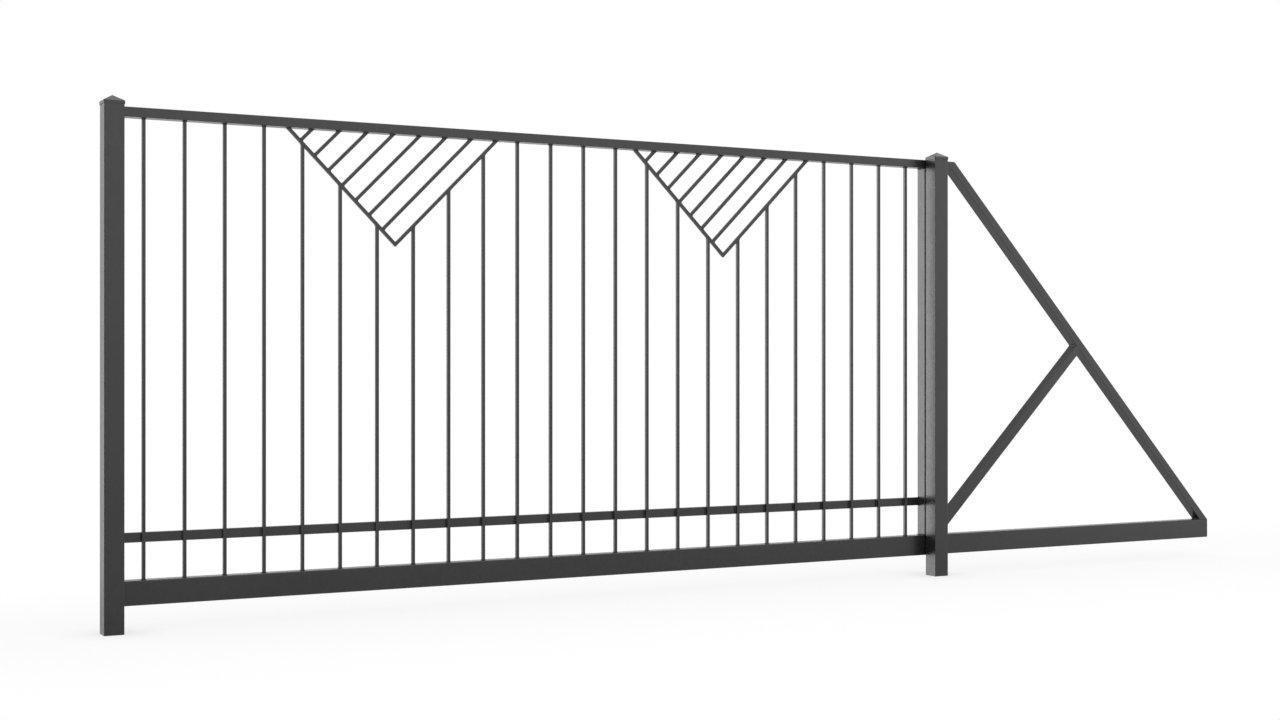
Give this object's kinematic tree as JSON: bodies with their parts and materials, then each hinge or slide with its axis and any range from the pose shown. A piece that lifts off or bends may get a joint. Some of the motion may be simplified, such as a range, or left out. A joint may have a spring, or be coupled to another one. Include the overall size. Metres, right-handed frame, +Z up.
{
  "type": "sliding driveway gate",
  "caption": "Cantilever sliding driveway gate: barred steel leaf with chevron slats and a braced tail, behind square capped posts; slides open sideways.",
  "frame": {"origin": "centre of the support post's foot, at ground level", "axes": "+X along the gate towards the braced tail, the way the leaf opens; +Y from the street side to the leaf's side; +Z up"},
  "size_m": [6.0475, 0.1495, 2.135],
  "materials": {
    "powder_coat": "satin",
    "zinc_steel": "satin"
  },
  "bodies": {
    "posts": {"closing_post": "powder_coat", "closing_post_cap": "powder_coat", "support_post": "powder_coat", "support_post_cap": "powder_coat", "carriage_stand": "zinc_steel", "carriage_axle": "zinc_steel", "carriage_rollers": "zinc_steel"},
    "leaf": {"carrier_rail": "powder_coat", "top_rail": "powder_coat", "front_stile": "powder_coat", "rear_stile": "powder_coat", "lower_rail": "powder_coat", "tail_strut": "powder_coat", "tail_brace": "powder_coat", "rail_end_plates": "powder_coat", "front_chevron_edge_bar": "powder_coat", "front_chevron_slats": "powder_coat", "rear_chevron_edge_bar": "powder_coat", "rear_chevron_slats": "powder_coat", "upright_bar_01": "powder_coat", "upright_bar_02": "powder_coat", "upright_bar_03": "powder_coat", "upright_bar_04": "powder_coat", "upright_bar_05": "powder_coat", "upright_bar_06": "powder_coat", "upright_bar_07": "powder_coat", "upright_bar_08": "powder_coat", "upright_bar_09": "powder_coat", "upright_bar_10": "powder_coat", "upright_bar_11": "powder_coat", "upright_bar_12": "powder_coat", "upright_bar_13": "powder_coat", "upright_bar_14": "powder_coat", "upright_bar_15": "powder_coat", "upright_bar_16": "powder_coat", "upright_bar_17": "powder_coat", "upright_bar_18": "powder_coat", "upright_bar_19": "powder_coat", "upright_bar_20": "powder_coat", "upright_bar_21": "powder_coat", "upright_bar_22": "powder_coat", "upright_bar_23": "powder_coat", "upright_bar_24": "powder_coat"}
  },
  "joints": [
    {"name": "leaf_slide", "type": "slide", "parent": "posts", "child": "leaf", "axis": [1, 0, 0], "range_m": [0, 4]}
  ]
}
